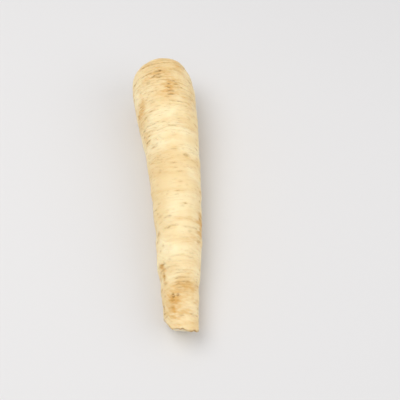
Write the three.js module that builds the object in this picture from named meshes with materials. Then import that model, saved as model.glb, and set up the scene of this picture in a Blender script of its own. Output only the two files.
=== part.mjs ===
// A parsley root (Hamburg parsley) as it is sold: one trimmed taproot, lying on its side.
// Millimetres, +Z up, +Y from the cut tail to the crown. The origin is the middle of the
// footprint, on the surface that the root lies on.
import * as THREE from "three";

// Driving dimensions.
const rootLength = 192; // cut tail to the top of the crown
const crownRadius = 20.4; // near the fullest part, just below the crown
const stubRadius = 7.8; // the trimmed tuft of leaf stalks in the middle of the crown
const stubHeight = 2.6; // how far the trimmed stalks stand above the crown
const stubCorners = 0.11; // the tuft is squarish: its corners reach this share further out
const stubFootRadius = 8.1; // it widens a little at its foot

// Mesh density.
const sidesRound = 44;
const ringsAlong = 76;

// How the root thickens from tail to crown: [share of the length, share of the crown radius].
const taper = [
  [0, 0.475],
  [0.11, 0.505],
  [0.25, 0.62],
  [0.39, 0.7],
  [0.54, 0.775],
  [0.68, 0.89],
  [0.79, 0.965],
  [0.85, 0.99],
  [0.9, 0.96],
  [0.94, 0.885],
  [0.965, 0.765],
  [0.98, 0.6],
  [0.9865, 0.43],
];
const fullestShare = 0.85; // above this the crown rounds over and no longer rests

// How the middle line wanders sideways: [share of the length, millimetres towards +X].
const wander = [
  [0, -1.1],
  [0.15, -0.1],
  [0.33, 1.8],
  [0.5, 2.8],
  [0.65, 2.1],
  [0.8, 0.6],
  [0.93, -0.7],
  [1, 0.9],
];

// The trimmed top of the tuft, dished in the middle: [share of its radius, millimetres down].
const stubTop = [
  [1, 0.35],
  [0.9, 0],
  [0.55, 0.4],
  [0.25, 0.8],
  [0, 0.8],
];

// Rings of points on the cut face, as shares of the tail's radius.
const cutRings = [0, 0.35, 0.7, 0.92];

// The section is a little oval and a little three-sided, in millimetres and radians.
const oval = { height: 0.3, start: 0.6 };
const threeSided = { height: 0.2, twistLength: 38 };

// Slow swellings that run round the root like soft hoops, in millimetres and radians.
const hoops = [
  { spacing: 17.3, height: 0.16, skew: 1.1, start: 0.4 },
  { spacing: 10.9, height: 0.12, skew: 1.7, start: 2.1 },
];

// Hollows and low knobs where side roots broke away: share of the length, angle round the root
// in degrees from +X towards +Z, then height and reach in millimetres.
const sideRootMarks = [
  { share: 0.17, angle: 104, height: -0.4, reach: 5 },
  { share: 0.18, angle: 168, height: -0.5, reach: 4 },
  { share: 0.225, angle: 166, height: 0.8, reach: 5 },
  { share: 0.33, angle: 172, height: -0.9, reach: 6 },
  { share: 0.37, angle: 22, height: -0.4, reach: 5 },
  { share: 0.5, angle: 285, height: -0.6, reach: 6 },
  { share: 0.62, angle: 195, height: -0.5, reach: 6 },
  { share: 0.73, angle: 340, height: -0.6, reach: 7 },
];

// The relief fades out over these lengths at the tail and at the crown.
const reliefFade = { tail: 12, crown: 16 };

// Where the underside meets the surface it is worn flat; in between it arches clear.
const wornFlat = 0.4;
const arch = { height: 0.5, middle: 0.42, halfLength: 0.2 };

// The slanted cut at the tail: slopes in millimetres per millimetre, and the missing corner.
const tailCut = { undercut: 0.42, sideways: -0.16, cornerStart: -5, cornerSlope: 1.2, reach: 26 };

const bell = (distance, reach) => Math.exp(-((distance / reach) ** 2));

const skin = new THREE.SplineCurve(
  taper.map(([share, radius]) => new THREE.Vector2(share * rootLength, radius * crownRadius)),
).getSpacedPoints(ringsAlong);

const middleLine = new THREE.SplineCurve(
  wander.map(([share, sideways]) => new THREE.Vector2(share * rootLength, sideways)),
).getSpacedPoints(ringsAlong);

// The height of a curve, given as points in order along x, at one place along it.
function heightAt(points, along) {
  const next = points.findIndex((point) => point.x > along);
  if (next < 1) {
    return points[next === 0 ? 0 : points.length - 1].y;
  }
  const [before, after] = [points[next - 1], points[next]];
  return THREE.MathUtils.mapLinear(along, before.x, after.x, before.y, after.y);
}

// Half of the root's outline, from the middle of the cut to the middle of the crown.
function outline() {
  const tailRadius = skin[0].y;
  return [
    ...cutRings.map((share) => new THREE.Vector2(tailRadius * share, 0)),
    ...skin.map((point) => new THREE.Vector2(point.y, point.x)),
    new THREE.Vector2(stubFootRadius, rootLength - stubHeight),
    ...stubTop.map(([share, down]) => new THREE.Vector2(stubRadius * share, rootLength - down)),
  ];
}

// What is added to the radius on the skin: an uneven section, hoops, hollows and knobs.
function relief(along, angle) {
  let height = oval.height * Math.cos(2 * angle - oval.start);
  height += threeSided.height * Math.cos(3 * angle + along / threeSided.twistLength);
  for (const hoop of hoops) {
    const drift = hoop.skew * Math.sin(angle + hoop.start);
    height += hoop.height * Math.sin((2 * Math.PI * along) / hoop.spacing + drift);
  }
  for (const mark of sideRootMarks) {
    const turn = angle - THREE.MathUtils.degToRad(mark.angle);
    const round = Math.atan2(Math.sin(turn), Math.cos(turn)) * heightAt(skin, along);
    const distance = Math.hypot(along - mark.share * rootLength, round);
    height += mark.height * bell(distance, mark.reach);
  }
  const endFade = Math.min(1, along / reliefFade.tail, (rootLength - along) / reliefFade.crown);
  return height * Math.max(0, endFade);
}

// How far the cut draws a point of the tail towards the crown.
function tailPull(along, x, z) {
  const corner = Math.max(0, tailCut.cornerStart - x) * tailCut.cornerSlope;
  const slant = tailCut.undercut * (skin[0].y - z) + tailCut.sideways * x;
  return (slant + corner) * Math.max(0, 1 - along / tailCut.reach);
}

// How much further out than round the crown's corners are, as a share of the radius.
function cornerReach(along, angle) {
  const fade = THREE.MathUtils.smoothstep(along, rootLength - 2 * stubHeight, rootLength - stubHeight);
  return stubCorners * fade * Math.sin(2 * angle) ** 2;
}

// Moves each point of the turned outline to where it grew.
function grow(geometry) {
  const points = geometry.getAttribute("position");
  const point = new THREE.Vector3();
  for (let i = 0; i < points.count; i++) {
    point.fromBufferAttribute(points, i);
    const along = point.y;
    const radius = Math.hypot(point.x, point.z);
    if (radius > 0.001) {
      const angle = Math.atan2(point.z, point.x);
      const share = Math.min(1, radius / skin[0].y);
      const swell = (relief(along, angle) * share) / radius + cornerReach(along, angle);
      point.x *= 1 + swell;
      point.z *= 1 + swell;
    }
    point.y += tailPull(along, point.x, point.z);
    const restingAlong = Math.min(along, fullestShare * rootLength);
    const clear = arch.height * bell(along / rootLength - arch.middle, arch.halfLength);
    point.x += heightAt(middleLine, along);
    point.z = Math.max(0, point.z + heightAt(skin, restingAlong) - wornFlat + clear);
    points.setXYZ(i, point.x, point.y, point.z);
  }
  geometry.computeBoundingBox();
  const middle = geometry.boundingBox.getCenter(new THREE.Vector3());
  geometry.translate(-middle.x, -middle.y, 0);
  geometry.computeVertexNormals();
  return geometry;
}

const skinMaterial = new THREE.MeshStandardMaterial({
  name: "root_skin",
  color: 0xf0d9a8,
  roughness: 0.6,
  metalness: 0,
});

const root = new THREE.Mesh(grow(new THREE.LatheGeometry(outline(), sidesRound)), skinMaterial);
root.name = "parsley_root";

const part = new THREE.Group();
part.add(root);

export default part;
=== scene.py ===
import math

import bpy
import numpy as np
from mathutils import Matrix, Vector, noise
from mathutils.bvhtree import BVHTree


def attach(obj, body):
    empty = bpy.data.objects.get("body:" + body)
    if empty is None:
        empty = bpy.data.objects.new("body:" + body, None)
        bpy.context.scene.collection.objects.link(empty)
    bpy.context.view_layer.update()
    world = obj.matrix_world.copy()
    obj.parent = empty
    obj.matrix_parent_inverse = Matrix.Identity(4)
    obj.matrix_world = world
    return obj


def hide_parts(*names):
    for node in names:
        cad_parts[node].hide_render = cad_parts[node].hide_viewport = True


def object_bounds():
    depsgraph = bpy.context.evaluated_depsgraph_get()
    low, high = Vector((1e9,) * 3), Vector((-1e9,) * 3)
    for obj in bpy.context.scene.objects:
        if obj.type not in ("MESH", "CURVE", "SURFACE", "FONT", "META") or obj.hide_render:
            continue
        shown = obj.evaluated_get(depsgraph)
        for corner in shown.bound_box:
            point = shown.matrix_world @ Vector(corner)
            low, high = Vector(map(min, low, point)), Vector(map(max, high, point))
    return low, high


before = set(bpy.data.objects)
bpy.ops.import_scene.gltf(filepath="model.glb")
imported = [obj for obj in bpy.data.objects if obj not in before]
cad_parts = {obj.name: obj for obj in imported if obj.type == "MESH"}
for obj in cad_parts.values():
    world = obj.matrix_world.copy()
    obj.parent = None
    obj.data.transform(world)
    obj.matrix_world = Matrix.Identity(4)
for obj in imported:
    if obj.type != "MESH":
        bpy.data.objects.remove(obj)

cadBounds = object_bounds()
mm = 0.001
tailTip, crownTip = cadBounds[0].y, cadBounds[1].y
rootLength = crownTip - tailTip


view = {
    "azimuth": -5.3,  # degrees round the root, 0 looks from the tail to the crown
    "elevation": 58,
    "distance": 0.4139,
    "lens": 58.2,
    "aim": (0.0175, -0.0022, 0),
    "clipStart": 0.01,
}


def addCamera():
    turn, tilt = math.radians(view["azimuth"]), math.radians(view["elevation"])
    flat = math.cos(tilt)
    back = Vector((math.sin(turn) * flat, -math.cos(turn) * flat, math.sin(tilt)))
    bpy.ops.object.camera_add(
        location=Vector(view["aim"]) + back * view["distance"],
        rotation=(math.pi / 2 - tilt, 0, turn),
    )
    camera = bpy.context.object
    camera.name = "camera"
    camera.data.lens = view["lens"]
    camera.data.clip_start = view["clipStart"]
    bpy.context.scene.camera = camera
    print("camera placed")


lighting = {
    "lamps": {  # name: (place, size, watts, colour)
        "keyLight": ((-0.32, 0.06, 0.77), 0.7, 3.1, (1.0, 0.985, 0.965)),
        "fillLight": ((0.75, -0.3, 0.5), 0.9, 2.3, (0.98, 0.985, 1.0)),
    },
    "sky": 0.645,
    "skyColor": (0.985, 0.985, 1.0),
}


def addLights():
    for name, (place, size, watts, color) in lighting["lamps"].items():
        away = Vector(place)
        facing = away.to_track_quat("Z", "Y").to_euler()
        bpy.ops.object.light_add(type="AREA", location=away, rotation=facing)
        lamp = bpy.context.object
        lamp.name = name
        lamp.data.shape = "DISK"
        lamp.data.size = size
        lamp.data.energy = watts
        lamp.data.color = color
    world = bpy.data.worlds.new("softRoom")
    world.use_nodes = True
    background = world.node_tree.nodes["Background"]
    background.inputs["Color"].default_value = (*lighting["skyColor"], 1)
    background.inputs["Strength"].default_value = lighting["sky"]
    bpy.context.scene.world = world
    bpy.context.scene.view_settings.view_transform = "Standard"
    print("lights placed")


ground = {
    "size": 40,
    "color": (0.752, 0.746, 0.744),
    "roughness": 0.6,
    "specular": 0.2,
}


def addFloor():
    bpy.ops.object.select_all(action="DESELECT")
    bpy.ops.mesh.primitive_plane_add(size=ground["size"])
    floor = bpy.context.object
    floor.name = "floor"
    finish = Finish("floor")
    finish.fill(finish.surface, {
        "Base Color": (*ground["color"], 1),
        "Roughness": ground["roughness"],
        "Specular IOR Level": ground["specular"],
    })
    floor.data.materials.append(finish.material)
    print("floor laid")


class Link:
    # one output of a node, so that sums on it can be written as sums
    def __init__(self, finish, socket):
        self.finish = finish
        self.socket = socket

    def math(self, operation, first, second):
        return self.finish.add("ShaderNodeMath", {"operation": operation}, {0: first, 1: second})

    def __add__(self, other):
        return self.math("ADD", self, other)

    def __radd__(self, other):
        return self.math("ADD", other, self)

    def __sub__(self, other):
        return self.math("SUBTRACT", self, other)

    def __rsub__(self, other):
        return self.math("SUBTRACT", other, self)

    def __mul__(self, other):
        return self.math("MULTIPLY", self, other)

    def __rmul__(self, other):
        return self.math("MULTIPLY", other, self)


class Finish:
    # a material being put together
    def __init__(self, name):
        self.material = bpy.data.materials.new(name)
        self.material.use_nodes = True
        self.tree = self.material.node_tree
        self.surface = self.tree.nodes["Principled BSDF"]

    def add(self, kind, settings, inputs, output=0):
        # settings come first, then the values or links of the sockets
        node = self.tree.nodes.new(kind)
        for name, setting in settings.items():
            setattr(node, name, setting)
        self.fill(node, inputs)
        return Link(self, node.outputs[output])

    def fill(self, node, inputs):
        for name, given in inputs.items():
            if isinstance(given, Link):
                self.tree.links.new(given.socket, node.inputs[name])
            else:
                node.inputs[name].default_value = given

    def painted(self, name):
        # a mask kept in the mesh
        return self.add("ShaderNodeAttribute", {"attribute_name": name}, {}, "Fac")

    def grain(self, size, stretch, detail, roughness):
        # noise with grains of about size, in metres, drawn out across the root by stretch
        place = self.add("ShaderNodeTexCoord", {}, {}, "Object")
        scale = [1 / (size * longer) for longer in (stretch, 1, stretch)]
        spot = self.add("ShaderNodeMapping", {}, {"Vector": place, "Scale": scale})
        return self.add("ShaderNodeTexNoise", {}, {
            "Vector": spot, "Scale": 1, "Detail": detail, "Roughness": roughness,
        })

    def between(self, value, low, high):
        # 0 below low, 1 above high
        return self.add("ShaderNodeMapRange", {"interpolation_type": "SMOOTHSTEP"}, {
            "Value": value, "From Min": low, "From Max": high,
        })

    def mottled(self, mask, grains, strength):
        # a mask broken up by noise, still nothing where it was nothing
        broken = 1.0
        for grain in grains:
            broken = (grain - 0.5) * strength + broken
        return mask * broken

    def blend(self, share, first, second):
        return self.add("ShaderNodeMix", {"data_type": "RGBA"}, {0: share, 6: first, 7: second}, 2)


def tint(red, green, blue):
    # a colour from 0 to 255 as a paint program shows it, made linear
    linear = [((part / 255 + 0.055) / 1.055) ** 2.4 for part in (red, green, blue)]
    return (*linear, 1)


shape = {
    "sides": 156,  # a multiple of 4, so that whole rows run along the top and the flanks
    "tailRings": 24,  # from the middle of the cut to its rim
    "bodyRings": 452,
    "crownRings": 156,  # from the shoulder to the middle of the crown
    "shoulder": 0.85,  # where the crown begins to round over, as a share of the length
    "crownCrowding": 1.9,  # above 1 the rings crowd towards the middle of the crown
    "crownEven": 0.3,  # the share of their spacing that stays even
    "smoothLevels": 2,  # of the smooth copy of the solid
    "rimAngle": 30,  # edges sharper than this stay sharp
    "rimTurn": -0.35,  # the cut ends where its normal leans less than this to the tail
    "rimFrom": 4 * mm,  # how far from the middle of the cut its rim is looked for
    "rimTo": 14 * mm,
    "rimStep": 0.05 * mm,
    "mergeWithin": 0.01 * mm,
    "quadTurn": (0.6, 1.2),  # radians: how bent and how skewed a quad of the copy may be
    "stations": 40,  # where the middle of the section is measured
    "stationEnds": (14 * mm, 8 * mm),  # from the tail and from the crown
    "stationReach": 2.5 * mm,
    "crownCap": 1.6 * mm,  # the top of the crown is the middle of this much of it
}


def pointsOf(piece):
    points = np.empty(len(piece.data.vertices) * 3)
    piece.data.vertices.foreach_get("co", points)
    return points.reshape(-1, 3)


def normalsOf(piece):
    normals = np.empty(len(piece.data.vertices) * 3)
    piece.data.vertex_normals.foreach_get("vector", normals)
    return normals.reshape(-1, 3)


def select(piece):
    bpy.ops.object.select_all(action="DESELECT")
    piece.select_set(True)
    bpy.context.view_layer.objects.active = piece


def smoothCopy(node):
    # a smooth version of the faceted solid, that the skin is drawn over
    copy = bpy.data.objects.new("smoothCopy", node.data.copy())
    bpy.context.scene.collection.objects.link(copy)
    select(copy)
    bpy.ops.object.mode_set(mode="EDIT")
    bpy.ops.mesh.select_all(action="SELECT")
    bpy.ops.mesh.remove_doubles(threshold=shape["mergeWithin"])
    bent, skewed = shape["quadTurn"]
    bpy.ops.mesh.tris_convert_to_quads(face_threshold=bent, shape_threshold=skewed)
    bpy.ops.mesh.select_mode(type="EDGE")
    bpy.ops.mesh.select_all(action="DESELECT")
    bpy.ops.mesh.edges_select_sharp(sharpness=math.radians(shape["rimAngle"]))
    bpy.ops.transform.edge_crease(value=1)
    bpy.ops.object.mode_set(mode="OBJECT")
    smooth = copy.modifiers.new("smooth", "SUBSURF")
    smooth.levels = smooth.render_levels = shape["smoothLevels"]
    bpy.ops.object.modifier_apply(modifier=smooth.name)
    return copy


def middleLine(points):
    # the middle of the root's section, station by station
    fromTail, fromCrown = shape["stationEnds"]
    stations = np.linspace(tailTip + fromTail, crownTip - fromCrown, shape["stations"])
    middles = []
    for station in stations:
        around = points[np.abs(points[:, 1] - station) < shape["stationReach"]]
        middles.append((around.min(0) + around.max(0)) / 2)
    middles = np.array(middles)

    def at(y):
        return np.stack([
            np.interp(y, stations, middles[:, 0]), y, np.interp(y, stations, middles[:, 2]),
        ], -1)

    return at


def feelRim(tree, centre, out):
    # walks outwards over the cut until the surface turns into skin
    reach, rim = shape["rimFrom"], centre
    while reach < shape["rimTo"]:
        start = centre + out * reach - Vector((0, rootLength, 0))
        hit, normal = tree.ray_cast(start, Vector((0, 1, 0)))[:2]
        if hit is None or normal.y > shape["rimTurn"]:
            break
        rim = hit
        reach += shape["rimStep"]
    return rim


def addBlank():
    rings = shape["tailRings"] + shape["bodyRings"] + shape["crownRings"]
    bpy.ops.object.select_all(action="DESELECT")
    bpy.ops.mesh.primitive_uv_sphere_add(
        segments=shape["sides"], ring_count=rings, radius=1, rotation=(-math.pi / 2, 0, 0)
    )
    blank = bpy.context.object
    blank.name = "parsley_root_skin"
    bpy.ops.object.transform_apply(location=True, rotation=True, scale=True)
    return blank, rings


def runOverSkin(placed, ring):
    # how far each point's ring is from the rim of the cut, measured over the skin
    byRing = [placed[ring == i] for i in range(ring.max() + 1)]
    hops = [0.0]
    for before, after in zip(byRing, byRing[1:]):
        closed = len(before) != len(after)  # at an end, where a ring is a single point
        hops.append(0.0 if closed else np.linalg.norm(after - before, axis=1).mean())
    run = np.cumsum(hops)
    return run[ring] - run[shape["tailRings"]]


def measureSkin(blank, placed, ring, off, fromTop, way):
    # what the relief and the stains go by; lengths in here are millimetres, apart from point
    run = runOverSkin(placed, ring)
    sideways = fromTop - np.outer(fromTop @ way, way)
    return {
        "point": placed,
        "normal": normalsOf(blank),
        "grain": np.stack([placed[:, 0], run, placed[:, 2]], -1) / mm,
        "along": (placed[:, 1] - tailTip) / mm,
        "angle": np.degrees(np.arctan2(off[:, 2], off[:, 0])),
        "radius": np.hypot(off[:, 0], off[:, 2]) / mm,
        "cutShare": ring / shape["tailRings"],  # 0 in the middle of the cut, 1 at its rim
        "crownWay": way,
        "crownAside": sideways / mm,
        "crownLevel": fromTop @ way / mm,
        "onCrown": placed[:, 1] > tailTip + shape["shoulder"] * rootLength,
    }


def wrapOverRoot():
    blank, rings = addBlank()
    copy = smoothCopy(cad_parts["parsley_root"])
    tree = BVHTree.FromObject(copy, bpy.context.evaluated_depsgraph_get())
    copyPoints = pointsOf(copy)
    middleAt = middleLine(copyPoints)

    start = pointsOf(blank)
    ring = np.round(np.arccos(np.clip(-start[:, 1], -1, 1)) / math.pi * rings).astype(int)
    side = np.round(np.arctan2(start[:, 2], start[:, 0]) / (2 * math.pi) * shape["sides"])
    side = side.astype(int) % shape["sides"]

    sideWays = []
    for i in range(shape["sides"]):
        turn = 2 * math.pi * i / shape["sides"]
        sideWays.append(Vector((math.cos(turn), 0, math.sin(turn))))
    cutCentre = Vector(middleAt(tailTip))
    rims = [feelRim(tree, cutCentre, out) for out in sideWays]
    shoulder = tailTip + shape["shoulder"] * rootLength
    heart = Vector(middleAt(shoulder))
    cap = copyPoints[:, 1] > crownTip - shape["crownCap"]
    crownTop = Vector(copyPoints[cap].mean(0))
    crownWay = (crownTop - heart).normalized()

    crownStart = shape["tailRings"] + shape["bodyRings"]
    placed = np.empty_like(start)
    for i in range(len(start)):
        out, rim = sideWays[side[i]], rims[side[i]]
        if ring[i] == shape["tailRings"]:
            spot = rim
        elif ring[i] < shape["tailRings"]:
            spot = cutCentre.lerp(rim, ring[i] / shape["tailRings"])
            spot.y -= rootLength
            spot = tree.ray_cast(spot, Vector((0, 1, 0)))[0]
        elif ring[i] <= crownStart:
            share = (ring[i] - shape["tailRings"]) / shape["bodyRings"]
            middle = Vector(middleAt(rim.y + (shoulder - rim.y) * share))
            spot = tree.ray_cast(middle + out * rootLength, -out)[0]
        else:
            share = 1 - (ring[i] - crownStart) / shape["crownRings"]
            even = shape["crownEven"]
            lean = math.pi / 2 * (even * share + (1 - even) * share ** shape["crownCrowding"])
            way = out * math.sin(lean) + crownWay * math.cos(lean)
            spot = tree.ray_cast(heart + way * rootLength, -way)[0]
        placed[i] = spot
    blank.data.vertices.foreach_set("co", placed.ravel())
    blank.data.update()
    bpy.data.objects.remove(copy)
    print("skin drawn over the solid:", len(placed), "points")

    off = placed - middleAt(np.minimum(placed[:, 1], shoulder))
    fromTop, way = placed - np.array(crownTop), np.array(crownWay)
    return blank, measureSkin(blank, placed, ring, off, fromTop, way)


def bell(distance):
    # 1 at the middle, nearly 0 from 2 on
    return np.exp(-distance ** 2)


def step(value, low, high):
    # 0 at low, 1 at high, whichever is greater
    share = np.clip((value - low) / (high - low), 0, 1)
    return share * share * (3 - 2 * share)


def noiseAt(spots, strength=1.8):
    return np.array([noise.noise(spot) for spot in spots.tolist()]) * strength


def waves(skin, size, stretch=1.0, shift=0.0):
    # smooth noise over the skin, about -1 to 1, drawn out round the root by stretch;
    # shift only moves it, so that no two patterns are alike
    scaled = skin["grain"] / (size * np.array([stretch, 1, stretch])) + shift
    return noiseAt(scaled)


def layered(skin, layers):
    # waves on waves, each given as (strength, size, stretch, shift)
    return sum(strength * waves(skin, *wave) for strength, *wave in layers)


def patches(skin, least, edges, *wave):
    # least in the faint patches, 1 in the strong ones; edges are where a wave is each of them
    return least + (1 - least) * step(waves(skin, *wave), *edges)


def turnFrom(skin, angle):
    # how far round the root each point is from angle, from -180 to 180 degrees
    return (skin["angle"] - angle + 180) % 360 - 180


def near(skin, along, angle, lean=0.0):
    # how far each point is along and round the root from one place, turned by lean degrees
    up = skin["along"] - along
    aside = np.radians(turnFrom(skin, angle)) * skin["radius"]
    upright, slant = math.cos(math.radians(lean)), math.sin(math.radians(lean))
    return up * upright - aside * slant, aside * upright + up * slant


relief = {  # lengths are millimetres, here and in all that follows
    "lumps": [(32, 0.25), (13, 0.14), (6, 0.07)],  # (size, height)
    "rings": [(5.0, 0.11, 8), (2.4, 0.075, 7), (1.3, 0.04, 5)],  # (size, height, reach round)
    "creases": [(4.2, 0.11, 0.16, 9), (2.3, 0.09, 0.11, 7)],  # (spacing, width, depth, reach)
    "drift": (22, 1.6),  # (size, height): how far the rings wander along the root
    "crownFurrows": 1.9,  # how much stronger the rings are on the crown
    "crownFrom": (128, 164),  # where they begin and end to grow stronger
    "tailCalm": 0.46,  # how strong they are near the tail
    "tailFrom": (85, 60),  # where they begin and end to grow calmer
    "patches": (0.55, (-0.5, 0.6), 15, 2, 9.1),  # (least, edges, size, stretch, shift)
    "creasePatches": (9, 2.5),  # (size, stretch) of the patches with creases
    "creaseEdges": (-0.15, 0.6),
    "creaseCrown": 0.35,  # how much more of the crown has creases
    "creaseSharpness": 1.5,
    "creaseStain": 0.16,
    "crownStain": 0.9,  # how much darker creases are on the crown
    "dryTop": 0.3,  # how cracked the skin is on top near the tail, where it is least dry
    "topWithin": (75, 45),  # degrees from the top, where the dry skin ends
    "topFrom": (115, 85),
}


def growRings(skin, grown):
    height, stain = grown["height"], grown["stain"]
    for size, high in relief["lumps"]:
        height += high * waves(skin, size, shift=size)
    steady = skin["grain"].copy()
    size, wander = relief["drift"]
    skin["grain"][:, 1] += wander * waves(skin, size, shift=3.7)

    crownShare = step(skin["along"], *relief["crownFrom"])
    lively = patches(skin, *relief["patches"])
    lively *= 1 + (relief["crownFurrows"] - 1) * crownShare
    calm = 1 - (1 - relief["tailCalm"]) * step(skin["along"], *relief["tailFrom"])
    lively *= calm
    fine = np.zeros(len(height))
    for size, high, reach in relief["rings"]:
        fine += high * waves(skin, size, reach, shift=size + 0.6) * lively
    for spacing, width, depth, reach in relief["creases"]:
        field = waves(skin, spacing, reach, shift=17.7 * spacing)
        patch = waves(skin, *relief["creasePatches"], shift=5.3 + spacing)
        patch = step(patch + relief["creaseCrown"] * crownShare, *relief["creaseEdges"])
        lines = np.clip(1 - np.abs(field) / width, 0, 1) ** relief["creaseSharpness"]
        lines = lines * patch * calm
        fine -= depth * lines * (1 + crownShare)
        stain += relief["creaseStain"] * lines * (1 + relief["crownStain"] * crownShare)
    skin["grain"] = steady
    height += fine
    grown["fine"] = fine

    # the finish cracks the skin where it is dry: on the crown, the flanks and the underside
    fromTop = np.abs(turnFrom(skin, 90))
    upperSide = step(fromTop, *relief["topWithin"]) * step(skin["along"], *relief["topFrom"])
    grown["dry"] = (1 - (1 - relief["dryTop"]) * upperSide) * (skin["cutShare"] >= 1)


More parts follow.
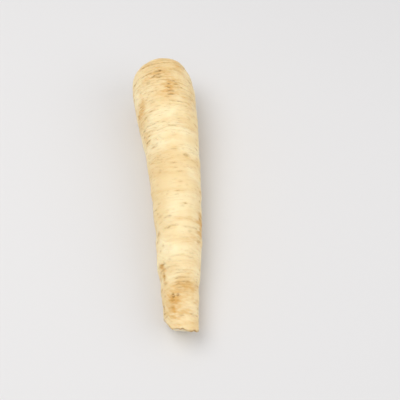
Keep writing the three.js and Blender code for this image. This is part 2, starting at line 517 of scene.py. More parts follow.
marks = {
    # wrinkles that stand out: along, angle, half length, half width, depth, lean, darkness
    "wrinkles": [
        (170.8, 98, 2.4, 0.46, 0.38, -6, 1.35),
        (167.2, 103, 2.8, 0.48, 0.42, -14, 1.05),
        (165.5, 98, 1.6, 0.40, 0.22, -8, 0.45),
        (169.8, 117, 2.4, 0.60, 0.28, -9, 0.60),
        (169.5, 130, 1.6, 0.75, 0.30, 0, 0.55),
        (163.5, 120, 1.2, 0.60, 0.20, 0, 0.60),
        (172.5, 108, 5.0, 0.40, 0.25, -4, 0.30),
        (175.5, 99, 6.0, 0.40, 0.25, -2, 0.30),
        (179.0, 90, 7.0, 0.45, 0.25, 0, 0.30),
        (163.0, 94, 1.8, 0.46, 0.30, -4, 0.36),
        (162.0, 74, 2.8, 0.45, 0.25, 6, 0.50),
        (161.0, 56, 7.0, 0.45, 0.25, 2, 0.32),
        (157.0, 48, 7.5, 0.42, 0.25, 0, 0.26),
        (153.0, 40, 7.0, 0.42, 0.22, 0, 0.22),
        (159.5, 80, 1.0, 0.55, 0.22, 0, 0.85),
        (159.0, 66, 1.8, 0.60, 0.25, 0, 0.40),
        (156.4, 80.5, 1.2, 0.50, 0.20, 0, 0.80),
        (153.8, 78.5, 2.5, 0.48, 0.32, 4, 0.95),
        (151.3, 79.5, 2.0, 0.48, 0.32, 2, 0.92),
        (149.0, 86, 0.8, 0.45, 0.20, 0, 0.45),
        (146.0, 70, 4.2, 0.42, 0.35, 3, 0.62),
        (143.5, 58, 5.0, 0.40, 0.22, 0, 0.22),
        (139.5, 133, 3.4, 0.45, 0.30, 4, 0.30),
        (138.0, 107, 4.0, 0.45, 0.25, 0, 0.20),
        (132.5, 133, 4.0, 0.45, 0.35, 4, 0.35),
        (132.0, 153, 1.2, 0.50, 0.25, 0, 0.70),
        (128.5, 141, 1.7, 0.42, 0.25, 0, 0.60),
        (128.0, 156, 1.2, 0.50, 0.25, 0, 0.70),
        (126.0, 143, 2.0, 0.40, 0.25, 0, 0.65),
        (123.0, 147, 2.0, 0.45, 0.30, 0, 0.95),
        (118.0, 165, 1.2, 0.50, 0.25, 0, 0.50),
        (71.5, 5, 2.4, 0.42, 0.25, 2, 0.34),
        (68.4, 9, 3.4, 0.46, 0.30, -2, 0.50),
        (65.6, 4, 2.6, 0.42, 0.25, 3, 0.42),
        (61.8, 10, 3.0, 0.46, 0.28, 0, 0.46),
        (68.0, 118, 2.4, 0.42, 0.30, 3, 0.55),
        (61.3, 121, 2.6, 0.70, 0.35, 5, 0.50),
        (61.8, 106, 3.4, 0.55, 0.32, 2, 0.32),
        (60.5, 62, 3.6, 0.55, 0.28, -1, 0.30),
        (61.0, 40, 1.6, 0.45, 0.30, -1, 0.40),
        (54.0, 72, 2.6, 0.40, 0.22, 0, 0.25),
        (53.5, 26, 2.2, 0.50, 0.30, 0, 0.45),
        (45.0, 54, 2.2, 0.42, 0.28, 0, 0.34),
        (43.0, 54, 2.4, 0.42, 0.28, 0, 0.36),
        (43.5, 94, 4.6, 0.42, 0.22, 0, 0.20),
        (37.5, 116, 5.0, 0.42, 0.30, 2, 0.28),
        (40.5, 84, 5.0, 0.42, 0.20, 0, 0.16),
        (35.0, 86, 4.5, 0.38, 0.22, 0, 0.24),
        (33.5, 84, 4.0, 0.38, 0.22, 0, 0.26),
        (31.0, 85, 4.6, 0.42, 0.42, 0, 0.58),
        (28.5, 80, 5.4, 0.42, 0.40, 0, 0.50),
        (27.0, 84, 4.5, 0.38, 0.30, 0, 0.38),
        (25.5, 82, 3.2, 0.38, 0.32, 0, 0.32),
        (24.0, 85, 2.4, 0.40, 0.24, 0, 0.22),
        (22.5, 76, 3.0, 0.38, 0.20, 0, 0.14),
        (18.4, 115, 1.1, 0.60, 0.12, 0, 0.22),
        (16.4, 115, 1.2, 0.55, 0.12, 0, 0.18),
        (14.8, 117, 0.9, 0.50, 0.10, 0, 0.28),
        (18.2, 98, 0.9, 0.50, 0.10, 0, 0.25),
        (9.2, 90, 1.6, 0.42, 0.30, 0, 0.36),
        (9.9, 46, 1.8, 0.45, 0.30, 0, 0.36),
        (10.0, 26, 1.4, 0.45, 0.30, 0, 0.36),
        (14.0, 62, 3.0, 0.38, 0.20, 0, 0.12),
    ],
    "wander": [(0.30, 3.4, 1.2, 31.0), (0.16, 1.3, 1.2, 57.0)],
    "patches": (0.6, (-0.5, 0.45), 1.6, 1.6, 83.0),  # where they are dark
    "ends": (1.5, 0.4),  # where a wrinkle begins and ends to show, in half lengths
    "lip": (0.25, 2.2, 1),  # (share of the depth, place, width)
    "stainWidth": 1.15,  # this and the lip's place and width are in half widths
    # scars of side roots: along, angle, half length along, half width round, depth, darkness
    "scars": [
        (21.0, 113, 1.0, 0.55, 0.60, 1.0),
        (21.0, 97, 0.6, 0.68, 0.45, 0.80),
        (34.5, 143, 1.3, 0.50, 0.40, 0.36),
        (32.0, 144, 1.0, 0.50, 0.35, 0.32),
        (16.0, 159, 1.6, 0.60, 0.35, 0.50),
        (60.3, 151, 0.9, 0.70, 0.30, 0.50),
        (57.5, 61, 0.5, 0.70, 0.20, 0.35),
        (55.5, 21, 0.7, 0.70, 0.20, 0.15),
        (48.5, 112, 0.9, 1.10, 0.20, 0.14),
        (51.5, 136, 0.6, 0.60, 0.25, 0.40),
        (42.1, 118, 0.6, 0.70, 0.20, 0.28),
        (178.0, 129, 0.9, 0.90, 0.35, 0.50),
        (96.0, 285, 1.0, 1.60, 0.60, 0.70),
        (119.0, 195, 0.9, 1.30, 0.50, 0.65),
        (140.5, 340, 1.1, 1.70, 0.60, 0.70),
        (71.0, 200, 0.8, 1.20, 0.40, 0.60),
        (78.5, 352, 0.8, 1.20, 0.40, 0.60),
        (54.0, 250, 0.8, 1.30, 0.50, 0.65),
        (30.0, 318, 0.8, 1.20, 0.50, 0.65),
        (108.0, 60, 0.7, 1.20, 0.35, 0.45),
    ],
    "scarLip": (0.3, 1.7, 0.6),  # (share of the depth, place, width)
    "scarRing": (0.25, 1.5, 0.5),  # the brown ring round it: (share of the darkness, place, width)
    "scarStain": 1.05,
    # low bumps: along, angle, reach, height
    "bumps": [
        (136.5, 126, 2.6, 0.45),
        (131.0, 140, 2.2, 0.35),
        (46.0, 103, 3.4, 0.25),
        (168.5, 52, 4.0, 0.35),
        (88.0, 230, 4.0, 0.35),
        (151.0, 300, 5.0, 0.40),
    ],
    # the torn lip on the left flank, where the skin steps down towards the tail
    "tear": {
        "along": 40.6,
        "angle": 147,
        "lean": -40,
        "halfLength": 2.6,
        "ends": (1.3, 0.5),  # in half lengths
        "wander": [(0.4, 1.8, 1, 71.0)],
        "lip": (0.35, 0.8, 1.1),  # (height, place, width)
        "edge": 0.35,  # half the width of the step
        "drop": 0.6,
        "fade": 5,
        "stain": (0.26, -0.35, 0.6),  # (darkness, place, width)
    },
}


def ridgeAt(distance, strength, place, width):
    return strength * bell((distance - place) / width)


def groove(across, *lip):
    # 1 deep in the middle, with a raised lip on both sides; across is 1 at its half width
    return ridgeAt(across, *lip) - bell(across)


def growWrinkles(skin, grown):
    # each wanders a little and comes and goes along its length
    wander = layered(skin, marks["wander"])
    patchy = patches(skin, *marks["patches"])
    for along, angle, length, width, depth, lean, dark in marks["wrinkles"]:
        up, aside = near(skin, along, angle, lean)
        across = np.abs(up + wander) / width
        fade = step(np.abs(aside) / length, *marks["ends"])
        grown["height"] += depth * fade * groove(across, *marks["lip"])
        grown["stain"] += dark * fade * patchy * bell(across / marks["stainWidth"])


def growScars(skin, grown):
    # a pit with a raised edge and a brown ring
    for along, angle, length, width, depth, dark in marks["scars"]:
        up, aside = near(skin, along, angle)
        reach = np.hypot(up / length, aside / width)
        grown["height"] += depth * groove(reach, *marks["scarLip"])
        stain = bell(reach / marks["scarStain"]) + ridgeAt(reach, *marks["scarRing"])
        grown["stain"] += dark * stain
    for along, angle, reach, high in marks["bumps"]:
        up, aside = near(skin, along, angle)
        grown["height"] += high * bell(np.hypot(up, aside) / reach)


def growTear(skin, grown):
    tear = marks["tear"]
    up, aside = near(skin, tear["along"], tear["angle"], tear["lean"])
    up = up + layered(skin, tear["wander"])
    wide = step(np.abs(aside) / tear["halfLength"], *tear["ends"])
    below = step(up, tear["edge"], -tear["edge"]) * bell(np.minimum(up, 0) / tear["fade"])
    grown["height"] += wide * (ridgeAt(up, *tear["lip"]) - tear["drop"] * below)
    grown["stain"] += wide * ridgeAt(up, *tear["stain"])


slit = {
    "lip": (0.4, 2, 1),  # (share of the depth, place, width)
    "stainWidth": 1.1,  # in half widths
    "halo": (0.55, 1.3, 3),  # the tan round it: (strength, in half lengths, in half widths)
}


def growSlit(skin, grown, place, length, width, depth, dark):
    # a short slit across the root with raised lips and a stained edge
    up, aside = near(skin, *place)
    across, aside = np.abs(up) / width, aside / length
    grown["height"] += depth * bell(aside) * groove(across, *slit["lip"])
    grown["stain"] += dark * bell(aside) * bell(across / slit["stainWidth"])
    halo, haloLength, haloWidth = slit["halo"]
    grown["tan"] += halo * dark * bell(aside / haloLength) * bell(across / haloWidth)


lenticels = {  # the short corky slits that the skin breathes through
    "seed": 27,
    "ranks": [80, 153, 215, 262, 318, 20],  # degrees: side roots grow in rows down the root
    "rankSpread": 8,
    "rankFrom": (6, 12),
    "rankTo": 176,
    "rankGap": 5.5,
    "gapSpread": (0.35, 1.9),
    "loose": 260,  # more of them, anywhere
    "looseWithin": (4, 184),
    "looseSize": 0.65,
    "halfLength": (0.7, 2.4),
    "halfWidth": (0.24, 0.45),
    "depth": (0.10, 0.28),
    "darkness": (0.12, 0.55),
    "lean": 5,
    "clearing": (30, 130),  # between these angles they are faint, as the marks show there
    "clearingGap": (72, 120),  # but not between these places along the root
    "faint": 0.35,
}


def growLenticels(skin, grown):
    draw = np.random.default_rng(lenticels["seed"])
    places = []
    for rank in lenticels["ranks"]:
        along = draw.uniform(*lenticels["rankFrom"])
        while along < lenticels["rankTo"]:
            places.append((along, rank + draw.normal(0, lenticels["rankSpread"]), 1.0))
            along += lenticels["rankGap"] * draw.uniform(*lenticels["gapSpread"])
    for i in range(lenticels["loose"]):
        along = draw.uniform(*lenticels["looseWithin"])
        places.append((along, draw.uniform(-180, 180), lenticels["looseSize"]))
    clearFrom, clearTo = lenticels["clearing"]
    gapFrom, gapTo = lenticels["clearingGap"]
    for along, angle, size in places:
        length = draw.uniform(*lenticels["halfLength"]) * size
        width = draw.uniform(*lenticels["halfWidth"])
        depth = draw.uniform(*lenticels["depth"])
        dark = draw.uniform(*lenticels["darkness"]) * size
        if clearFrom < angle % 360 < clearTo and not gapFrom < along < gapTo:
            dark *= lenticels["faint"]
        place = (along, angle, draw.normal(0, lenticels["lean"]))
        growSlit(skin, grown, place, length, width, depth, dark)


crackle = {
    "seed": 5,
    "count": 380,
    "from": 134,
    "to": 186,
    "crowding": 1.4,  # above 1 they crowd towards the top of the crown
    "halfLength": (0.8, 2.8),
    "halfWidth": (0.28, 0.5),
    "depth": (0.05, 0.25),
    "darkness": (0.0, 0.26),
    "lean": 9,
    "patches": (0.15, (-0.35, 0.5), 11, 1.4, 61.0),  # where they are strong
}


def growCrackle(skin, grown):
    # fine cracks that crowd on the crown
    draw = np.random.default_rng(crackle["seed"])
    clumps = patches(skin, *crackle["patches"])
    cracks = {name: np.zeros(len(clumps)) for name in ("height", "stain", "tan")}
    span = crackle["to"] - crackle["from"]
    for i in range(crackle["count"]):
        along = crackle["to"] - span * draw.uniform(0, 1) ** crackle["crowding"]
        place = (along, draw.uniform(-180, 180), draw.normal(0, crackle["lean"]))
        length = draw.uniform(*crackle["halfLength"])
        width = draw.uniform(*crackle["halfWidth"])
        depth, dark = draw.uniform(*crackle["depth"]), draw.uniform(*crackle["darkness"])
        growSlit(skin, cracks, place, length, width, depth, dark)
    for name, crack in cracks.items():
        grown[name] += crack * clumps


crown = {
    "seed": 14,
    "stalks": 21,
    "turn": 137.5,  # degrees from one leaf stalk to the next
    "reach": 7.2,  # where the outermost stalks stand
    "crowding": 0.6,
    "astray": (0.3, 0.16),  # how far they stray outwards (mm) and round (radians)
    "thick": (0.85, 1.2),
    "wide": (2.0, 3.1),
    "young": 0.55,  # how small the ones in the middle are
    "level": (-1.0, 0.3),  # how high they were cut, from the top of the crown
    "tilt": 0.14,  # how askew each was cut
    "dish": (0.35, 0.6),  # (how hollow, how wide) the cut end of each is
    "wobble": (0.4, 3.0),  # (how far, size): how uneven their outlines are
    "rough": [(0.10, 0.8, 1, 3.1), (0.12, 2.0, 1, 33.0)],
    "side": (0.85, 1.2),  # where the side of a stalk begins and ends
    "sideRough": [(0.12, 1.2, 1, 29.0)],
    "rind": 0.16,  # how wide the darker edge of a cut end is
    "gapShare": (0.34, 0.0),  # where two stalks meet
    "gapLevel": (-1.3, -2.2),  # the bottom of the gaps, in the middle and at the edge
    "gapRough": [(0.25, 1.4, 1, 45.0)],
    "edge": 8.7,  # how far the tuft reaches
    "ragged": [(0.5, 2.4, 1, 19.1)],  # how uneven that edge is
    "steep": 0.4,  # half the width of the slope there
    "husk": (9.4, 1.4, 0.22, 0.24),  # dry threads round it: (place, reach, height, darkness)
    "huskWander": [(0.6, 3, 1, 14.0)],
    "huskTan": 0.5,
    "threads": (14, 2),  # (how many, length)
    "threadEdges": (0.45, -0.25),
    "leafScars": [10.6, 12.3, 14.4],  # rings left by older leaves
    "scarWander": (0.5, 4),  # (how far, size)
    "scarWidth": 0.32,
    "scarPatches": (0, (-0.3, 0.4), 3.2, 1, 51.0),
    "scarDepth": 0.2,
    "scarStain": 0.35,
}


def growStubs(skin, grown):
    # trimmed leaf stalks, in the order that leaves grow, each hugging the middle
    draw = np.random.default_rng(crown["seed"])
    wobble, size = crown["wobble"]
    aside = skin["crownAside"][:, 0] + wobble * waves(skin, size, shift=6.6)
    upward = skin["crownAside"][:, 2] + wobble * waves(skin, size, shift=12.6)
    reach, turn = np.hypot(aside, upward), np.arctan2(upward, aside)
    nearest = np.full(len(reach), 99.0)
    second = nearest.copy()
    top, tone = np.zeros(len(reach)), np.zeros(len(reach))
    strayOut, strayRound = crown["astray"]
    for i in range(crown["stalks"]):
        place = crown["reach"] * ((i + 0.5) / crown["stalks"]) ** crown["crowding"]
        grownUp = crown["young"] + (1 - crown["young"]) * place / crown["reach"]
        place += draw.normal(0, strayOut) * grownUp
        facing = math.radians(crown["turn"] * i) + draw.normal(0, strayRound)
        high, shade = draw.uniform(*crown["level"]), draw.uniform(0, 1)
        thick, wide = draw.uniform(*crown["thick"]), draw.uniform(*crown["wide"])
        tiltOut, tiltRound = draw.normal(0, crown["tilt"], 2)
        swing = ((turn - facing + math.pi) % (2 * math.pi) - math.pi) * (reach + place) / 2
        deep = reach - place
        distance = np.hypot(deep / thick, swing / wide) / grownUp
        closer = distance < nearest
        second = np.where(closer, nearest, np.minimum(second, distance))
        nearest = np.where(closer, distance, nearest)
        top = np.where(closer, high + tiltOut * deep + tiltRound * swing, top)
        tone = np.where(closer, shade, tone)

    sideRough = layered(skin, crown["sideRough"])
    nearest, fromGap = nearest + sideRough, second - nearest + sideRough
    edge = crown["edge"] + layered(skin, crown["ragged"])
    mound = step(reach, edge + crown["steep"], edge - crown["steep"]) * skin["onCrown"]
    between = np.maximum(step(nearest, *crown["side"]), step(fromGap, *crown["gapShare"]))
    hollow, hollowReach = crown["dish"]
    dished = hollow * bell(nearest / hollowReach)
    bottom = np.interp(reach, (0, crown["edge"]), crown["gapLevel"])
    bottom += layered(skin, crown["gapRough"])
    level = (top - dished) * (1 - between) + bottom * between
    level += layered(skin, crown["rough"])
    # where two stalks meet: the finish paints this dark as shade
    grown["mound"], grown["gapShade"], grown["tone"] = mound, mound * between, tone
    grown["stubs"] = mound * (level - skin["crownLevel"])
    rind = bell((nearest - crown["side"][0]) / crown["rind"])
    grown["cutEdge"] = mound * rind * (1 - between)
    growCollar(skin, grown, reach, turn)


def growCollar(skin, grown, reach, turn):
    # scars of older leaves and dry threads round the tuft
    scars = np.zeros(len(reach))
    wander, size = crown["scarWander"]
    for place in crown["leafScars"]:
        strayed = wander * waves(skin, size, shift=place)
        scars += bell((reach - place + strayed) / crown["scarWidth"])
    scars *= patches(skin, *crown["scarPatches"])
    count, length = crown["threads"]
    threads = noiseAt(np.stack([np.cos(turn) * count, np.sin(turn) * count, reach / length], -1))
    place, far, high, dark = crown["husk"]
    husk = bell((reach - place + layered(skin, crown["huskWander"])) / far)
    around = skin["onCrown"] * (1 - grown["mound"])
    grown["stubs"] += around * (high * husk * threads - crown["scarDepth"] * scars)
    frayed = husk * step(threads, *crown["threadEdges"])
    grown["stain"] += skin["onCrown"] * (crown["scarStain"] * scars + dark * frayed)
    grown["tan"] += skin["onCrown"] * crown["huskTan"] * husk


stainsAndPaintedLight = {  # along, angle, reach along, reach round, strength
    "tan": [
        (172, 102, 7, 14, 0.38),
        (167, 108, 7, 11, 0.32),
        (184, 90, 4, 12, 0.15),
        (178, 58, 8, 9, 0.50),
        (169, 71, 6, 10, 0.26),
        (165, 124, 6, 4, 0.30),
        (160, 72, 6, 7, 0.30),
        (157, 79, 8, 8, 0.40),
        (153.4, 102, 2.2, 6, 0.36),
        (151.8, 80, 2.0, 11, 0.45),
        (160, 141, 10, 1.4, 0.25),
        (145.5, 146, 6, 3.4, 0.90),
        (148.2, 139, 3.6, 2.6, 0.45),
        (144, 158, 5, 3.6, 0.60),
        (148, 40, 8, 7, 0.45),
        (128, 152, 10, 3.5, 0.55),
        # this patch on the right flank is partly orange-brown skin and partly painted shadow, made
        # darker than the stain alone
        (66, 10, 9, 5, 0.90),
        (66, 70, 2.5, 14, 0.55),
        (53, 60, 3, 3, 0.60),
        (56, 28, 8, 5, 0.50),
        (27, 70, 5.0, 8, 0.70),
        (22, 114, 5, 4, 0.50),
        (15, 110, 9, 4.5, 0.50),
        (12, 64, 12, 13, 0.62),
        (10, 104, 4, 5, 0.30),
        (36.5, 85, 2.4, 12, 0.22),
        (34.5, 121, 2.2, 4, 0.50),
        (33, 55, 5, 4, 0.30),
        (51.5, 72, 2, 4, 0.40),
        (157, 77, 4, 4, 0.40),
        (44, 52, 9, 4, 0.20),
        (40, 151, 4, 2.6, 0.60),
        (33, 145, 6, 2, 0.60),
        (59, 150, 1.8, 1.6, 0.50),
        (105, 250, 14, 9, 0.5),
        (160, 215, 12, 8, 0.5),
        (40, 280, 10, 7, 0.5),
        (130, 320, 12, 8, 0.4),
        (20, 200, 9, 8, 0.5),
        (86, 20, 9, 6, 0.35),
        (100, 110, 10, 8, 0.35),
    ],
    "rust": [
        (18.0, 115, 2.8, 1.6, 0.62),
        (18.5, 98, 1.6, 1.3, 0.55),
        (16.8, 106, 1.8, 1.3, 0.30),
        (15.2, 116, 2.0, 1.2, 0.34),
        (13.0, 113, 2.0, 1.0, 0.55),
        (9.5, 112, 2.8, 0.8, 0.40),
        (3.3, 110, 1.2, 2.6, 0.50),
        (19.5, 119, 2.0, 1.8, 0.6),
        (28, 72, 3.2, 6, 0.22),
        (26.5, 40, 3.4, 4, 0.20),
        (24.5, 108, 2.4, 2.6, 0.34),
        (23.5, 92, 2.8, 4.5, 0.30),
        # these four make the same right-flank patch: partly rust-coloured skin, partly painted
        # shadow
        (68, 8, 4.5, 4.0, 0.70),
        (61.5, 9, 3.6, 3.4, 0.65),
        (72.5, 3, 2.5, 2.5, 0.45),
        (66.5, 12, 1.6, 3.0, 0.40),
        (58, 150, 1.6, 1.2, 0.5),
        (53, 60, 1.8, 2.2, 0.45),
        (157, 83, 6, 3.4, 0.60),
        (159.5, 79.5, 1.6, 1.9, 0.70),
        (156.5, 80, 1.6, 2.2, 0.70),
        (152.2, 87, 2.0, 6, 0.55),
        (169, 103, 3.2, 7, 0.42),
        (162, 75, 2.4, 3.5, 0.30),
        (179.5, 100, 1.8, 6, 0.25),
        (180, 123, 2.2, 3.0, 0.60),
        (177, 50, 3.5, 3.5, 0.55),
        (145.5, 150, 4, 3.0, 0.85),
        (148.2, 139, 3.0, 1.8, 0.45),
        (143.5, 157, 4, 2.8, 0.45),
        (41.0, 149, 1.8, 1.6, 0.66),
        (34, 143, 3, 1.2, 0.5),
        (96, 283, 4, 2.5, 0.6),
        (119, 195, 4, 2, 0.5),
        (140, 340, 4, 2.5, 0.5),
        (71, 200, 3, 2, 0.5),
        (108, 60, 3, 2, 0.4),
    ],
    # pale spots: partly paler skin, partly painted highlight and painted sheen, on the low bumps,
    # the left flank and the crown
    "paleAndHighlight": [
        (136.5, 126, 3.0, 3.4, 1.0),
        (131.0, 140, 2.0, 2.4, 0.9),
        (157, 114, 5, 6, 0.4),
        (165, 142, 9, 8, 0.8),
        (168, 152, 12, 9, 0.6),
        (150, 112, 4, 6, 0.5),
        (176.5, 86, 2.8, 7, 0.5),
        (154, 127, 6, 6, 0.6),
        (139, 143, 4, 3, 0.9),
        (133, 149, 4, 3, 0.8),
        (51, 145, 8, 5, 0.8),
        (166, 42, 9, 6, 0.4),
        (46, 109, 5, 7, 0.85),
        (52, 160, 10, 6, 0.6),
        (177.5, 90, 4, 6, 0.4),
        (48, 130, 7, 5, 0.6),
        (29, 130, 8, 5, 0.6),
        (56, 84, 4, 6, 0.4),
        (44, 75, 5, 9, 0.5),
        (168.5, 52, 3, 3.5, 0.8),
        (32, 116, 3, 3.5, 0.4),
        (88, 100, 12, 9, 0.4),
    ],
}

spotUnevenness = {
    "fray": [(0.22, 4.5, 1.8, 41.3), (0.15, 1.6, 4, 23.1)],  # along the rings
    "mottle": [(0.5, 2.4, 2.2, 77.0), (0.4, 1.1, 2.2, 93.0)],
    "mottled": {"tan": 0.6, "rust": 1.1, "paleAndHighlight": 0.6},  # how broken up each stain is
    "even": 0.8,
}


def paintStainsAndPaintedLight(skin, grown):
    # stains soak in unevenly and fray at their edges; the pale spots, partly painted highlight,
    # are broken up the same way
    fray, mottle = layered(skin, spotUnevenness["fray"]), layered(skin, spotUnevenness["mottle"])
    for name, spots in stainsAndPaintedLight.items():
        total = np.zeros(len(fray))
        for along, angle, reachAlong, reachRound, strength in spots:
            up, aside = near(skin, along, angle)
            total += strength * bell(np.hypot(up / reachAlong, aside / reachRound) + fray)
        grown[name] += total * (spotUnevenness["even"] + spotUnevenness["mottled"][name] * mottle)
        grown[name] = np.clip(grown[name], 0, 1)


cut = {
    "rough": [(3.2, 0.22), (1.1, 0.09)],  # (size, height)
    "core": 0.60,  # the darker ring inside the cut, as a share of its radius
    "coreGroove": (0.15, 0.07),  # (depth, width)
    "coreStain": 0.06,  # its width
    "coreWander": [(0.02, 3, 1, 66.0)],
    "heartEdge": 0.1,
    "flesh": (1.0, 0.86),  # where skin ends and clean flesh begins
    "even": (1.0, 0.8),  # where the flesh begins to be rough
    "ragged": 0.7,  # how far the rim is torn
    "raggedReach": (0.15, 2.2),  # from the rim: share of the cut, and along the skin
    "frays": [(1, 1.0), (2.7, 0.6)],  # (fineness, share)
    "fraySize": 2.2,
    "fraySlice": 8.8,  # the slice of the noise that the rim is torn by
    "rays": [(6, 0.6), (15, 0.5)],  # (how many, share)
    "rayLength": 0.4,
    "chips": [  # (angle, reach, depth)
        (106, 24, 1.6),
        (88, 6, 0.7),
        (44, 8, 0.4),
        (20, 7, 0.5),
        (160, 12, 0.5),
        (250, 10, 0.6),
    ],
    "browned": (45, 70, 0.35),  # (the angle where the rim is brownest, reach, least)
    "brownReach": (0.12, 1.5),
}


def nearRim(share, fromRim, onCutReach, onSkinReach):
    # 1 at the rim, falling off inwards over the cut and along the skin
    return np.where(share < 1, bell((share - 1) / onCutReach), step(fromRim, onSkinReach, 0.0))


def tearCut(skin, grown, moved):
    # the cut: rough flesh, a ring of darker flesh round the core and a torn, browned rim
    share = skin["cutShare"]
    onCut = share < 1
    depth, width = cut["coreGroove"]
    rough = -depth * bell((share - cut["core"]) / width)
    for size, high in cut["rough"]:
        rough += high * waves(skin, size, shift=size * 3)
    rimRing = share == 1
    order = np.argsort(skin["angle"][rimRing])
    angles, places = skin["angle"][rimRing][order], skin["along"][rimRing][order]
    fromRim = skin["along"] - np.interp(skin["angle"], angles, places, period=360)
    aside, upward = skin["grain"][:, 0] / cut["fraySize"], skin["grain"][:, 2] / cut["fraySize"]
    fray = np.stack([aside, upward, np.full(len(share), cut["fraySlice"])], -1)
    torn = np.zeros(len(share))
    for finer, part in cut["frays"]:
        torn += part * noiseAt(fray * finer, 1)
    torn *= cut["ragged"]
    for angle, reach, depth in cut["chips"]:
        torn += depth * bell(turnFrom(skin, angle) / reach)
    torn *= nearRim(share, fromRim, *cut["raggedReach"])
    moved[:, 1] += (rough * step(share, *cut["even"]) * onCut + torn) * mm

    turn = np.radians(skin["angle"])
    grown["ray"] = np.full(len(share), 0.5)
    for count, part in cut["rays"]:
        spokes = [np.cos(turn) * count, np.sin(turn) * count, share / cut["rayLength"]]
        grown["ray"] += part * noiseAt(np.stack(spokes, -1), 1)
    grown["flesh"] = step(share, *cut["flesh"])
    fromCore = share - cut["core"] + layered(skin, cut["coreWander"])
    grown["core"] = bell(fromCore / cut["coreStain"]) * onCut
    grown["heart"] = step(share, cut["core"], cut["core"] - cut["heartEdge"]) * onCut
    brownest, reach, least = cut["browned"]
    browned = least + (1 - least) * bell(turnFrom(skin, brownest) / reach)
    grown["rim"] = np.clip(browned * nearRim(share, fromRim, *cut["brownReach"]), 0, 1)


masks = {
    "kept": [  # the finish reads these from the mesh
        "stain", "hollow", "ridgeHighlight", "dry", "tan", "rust", "paleAndHighlight",
        "mound", "gapShade", "tone", "cutEdge", "flesh", "core", "heart", "ray", "rim",
    ],
    "tailFade": (-1, 4),  # where the relief begins and ends to grow from the cut
    "contrast": 7,  # how soon a ridge or a hollow shows fully
}


def growSkin(root, skin):
    names = ("height", "stain", "tan", "rust", "paleAndHighlight")
    grown = {name: np.zeros(len(skin["along"])) for name in names}
    growRings(skin, grown)
    growWrinkles(skin, grown)
    growScars(skin, grown)
    growTear(skin, grown)
    growLenticels(skin, grown)
    growCrackle(skin, grown)
    print("wrinkles and scars grown")

    growStubs(skin, grown)
    paintStainsAndPaintedLight(skin, grown)
    offCrown = 1 - grown["mound"]
    skinShare = step(skin["along"], *masks["tailFade"]) * (skin["cutShare"] >= 1) * offCrown
    moved = skin["point"] + skin["normal"] * (grown["height"] * skinShare * mm)[:, None]
    moved += skin["crownWay"] * (grown["stubs"] * mm)[:, None]
    tearCut(skin, grown, moved)
    moved[:, 2] = np.maximum(moved[:, 2], 0)
    root.data.vertices.foreach_set("co", moved.ravel())
    root.data.update()

    grown["dry"] *= offCrown
    grown["stain"] = np.clip(grown["stain"] * skinShare, 0, 1)
    # tan in the hollows of the fine relief and paler on its ridges: painted shade and painted
    # highlight that follow the relief
    relieved = grown["fine"] * masks["contrast"]
    grown["hollow"] = np.clip(-relieved, 0, 1) * skinShare
    grown["ridgeHighlight"] = np.clip(relieved, 0, 1) * skinShare
    for name in masks["kept"]:
        layer = root.data.attributes.new(name, "FLOAT", "POINT")
        layer.data.foreach_set("value", grown[name].astype(np.float32))
    print("skin finished")


look = {
    "cream": tint(242, 215, 160),
    "paler": tint(255, 240, 196),
    "tan": tint(228, 190, 126),
    "rust": tint(219, 168, 88),
    "brown": tint(144, 102, 38),
    "crack": tint(178, 134, 72),
    "flesh": tint(249, 235, 202),
    "fleshRing": tint(224, 194, 140),
    "heart": tint(243, 222, 168),
    "stub": tint(214, 188, 130),
    "stubPale": tint(242, 228, 180),
    # the darker rind of a cut stalk, also used for painted shade on the stalk sides near the gaps
    "stubRindAndShade": tint(186, 144, 84),
    # painted shade deep between the stalks of the tuft
    "gapShade": tint(120, 84, 46),
    "grains": {  # name: (size, stretch, detail, roughness) of each noise
        "broad": (13 * mm, 1.6, 3, 0.5),
        "bands": (2.2 * mm, 5, 4, 0.6),
        "fine": (0.9 * mm, 2.4, 4, 0.6),
        "speck": (0.8 * mm, 2.2, 2, 0.5),
        "pores": (0.45 * mm, 1.4, 2, 0.5),
        "threads": (0.5 * mm, 4, 3, 0.55),
        "patches": (7 * mm, 1.5, 2, 0.5),
        "cracks": (0.42 * mm, 9, 2, 0.6),
    },
    "edges": {  # where a noise or a mask begins to show and shows fully
        "broad": (0.40, 0.64),
        "bands": (0.48, 0.74),
        "speck": (0.64, 0.80),
        "patches": (0.42, 0.62),
        "cracks": (0.58, 0.70),
        "ray": (0.45, 0.9),
        "gapShade": (0.5, 1.25),
    },
    "grainy": {"patches": 0.8, "ray": 0.3, "tone": 0.6, "gapShade": 0.9},  # how rough their edges are
    "mottled": {  # how broken up each mask is
        "tan": 1.1, "rust": 3.6, "stain": 3.0, "core": 1.5, "rim": 2.4, "cutEdge": 2.4, "gapShade": 1.6,
    },
    "shares": {  # how strongly each of them shows
        "broad": 0.7, "paleAndHighlight": 0.7, "ridgeHighlight": 0.12, "bands": 0.32, "hollow": 0.34,
        "rust": 0.85, "speck": 0.4, "cracks": 0.5, "stain": 0.85, "heart": 0.6,
        "ray": 0.35, "core": 0.45, "rim": 0.75, "cutEdge": 0.6, "gapShade": 0.9,
    },
    "roughness": 0.52,
    "fineGloss": 0.35,  # how uneven the gloss is
    "stainGloss": 0.15,  # how much duller stains are
    "specular": 0.42,
    "bump": {"threads": 0.6, "pores": 0.4, "cracks": -0.5},
    "bumpStrength": 0.7,
    "bumpHeight": 0.35 * mm,
    "softness": 0.12,  # how much light passes through the skin
    "softRadius": (1.0, 0.55, 0.25),
    "softDepth": 0.003,
}


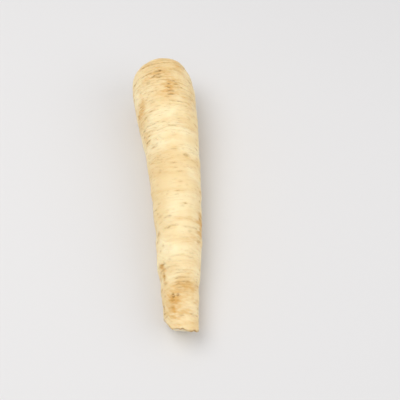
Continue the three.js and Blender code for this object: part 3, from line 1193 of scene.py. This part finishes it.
def finishSkin(root):
    finish = Finish("root_skin")
    painted, between, blend = finish.painted, finish.between, finish.blend
    edges, shares = look["edges"], look["shares"]
    noises = {name: finish.grain(*grain) for name, grain in look["grains"].items()}
    bands, fine, pores, threads = [noises[name] for name in ("bands", "fine", "pores", "threads")]

    def mottled(name, *grains):
        return finish.mottled(painted(name), grains, look["mottled"][name])

    def shown(name):
        return between(noises[name], *edges[name]) * shares[name]

    def grainy(name, mask, grain):
        return mask + (grain - 0.5) * look["grainy"][name]

    cracked = between(grainy("patches", noises["patches"], bands), *edges["patches"])
    cracks = between(noises["cracks"], *edges["cracks"]) * cracked * painted("dry")

    color = blend(shown("broad"), look["cream"], look["paler"])
    # paler where the pale spots are: partly paler skin, partly painted highlight
    color = blend(painted("paleAndHighlight") * shares["paleAndHighlight"], color, look["paler"])
    # paler on the ridges of the relief: painted highlight
    color = blend(painted("ridgeHighlight") * shares["ridgeHighlight"], color, look["paler"])
    color = blend(shown("bands"), color, look["tan"])
    color = blend(mottled("tan", bands, fine), color, look["tan"])
    # tan in the hollows of the relief: painted shade
    color = blend(painted("hollow") * shares["hollow"], color, look["tan"])
    color = blend(mottled("rust", bands, fine) * shares["rust"], color, look["rust"])
    color = blend(shown("speck"), color, look["rust"])
    color = blend(cracks * shares["cracks"], color, look["crack"])
    color = blend(mottled("stain", fine, threads) * shares["stain"], color, look["brown"])

    flesh = painted("flesh")
    color = blend(flesh, color, look["flesh"])
    color = blend(painted("heart") * shares["heart"], color, look["heart"])
    rays = between(grainy("ray", painted("ray"), fine), *edges["ray"])
    color = blend(rays * flesh * shares["ray"], color, look["fleshRing"])
    color = blend(mottled("core", fine) * shares["core"], color, look["fleshRing"])
    color = blend(mottled("rim", fine, bands) * shares["rim"], color, look["brown"])

    stubTop = blend(grainy("tone", painted("tone"), fine), look["stub"], look["stubPale"])
    stubTop = blend(mottled("cutEdge", fine, pores) * shares["cutEdge"], stubTop, look["stubRindAndShade"])
    # the sides of the stalks darken towards the gaps and the gaps go dark brown: painted shade
    stubTop = blend(mottled("gapShade", fine, pores) * shares["gapShade"], stubTop, look["stubRindAndShade"])
    deepGap = between(grainy("gapShade", painted("gapShade"), fine), *edges["gapShade"])
    stubTop = blend(deepGap, stubTop, look["gapShade"])
    color = blend(painted("mound"), color, stubTop)

    bumps = look["bump"]
    bump = finish.add("ShaderNodeBump", {}, {
        "Height": threads * bumps["threads"] + pores * bumps["pores"] + cracks * bumps["cracks"],
        "Strength": look["bumpStrength"],
        "Distance": look["bumpHeight"],
    })
    gloss = (fine - 0.5) * look["fineGloss"] + painted("stain") * look["stainGloss"]
    finish.fill(finish.surface, {
        "Base Color": color,
        "Roughness": gloss + look["roughness"],
        "Normal": bump,
        "Specular IOR Level": look["specular"],
        "Subsurface Weight": look["softness"],
        "Subsurface Radius": look["softRadius"],
        "Subsurface Scale": look["softDepth"],
    })
    root.data.materials.clear()
    root.data.materials.append(finish.material)
    print("skin painted")


addCamera()
addLights()
addFloor()
root, skin = wrapOverRoot()
growSkin(root, skin)
finishSkin(root)
select(root)
bpy.ops.object.shade_smooth()
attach(root, "root")
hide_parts("parsley_root")
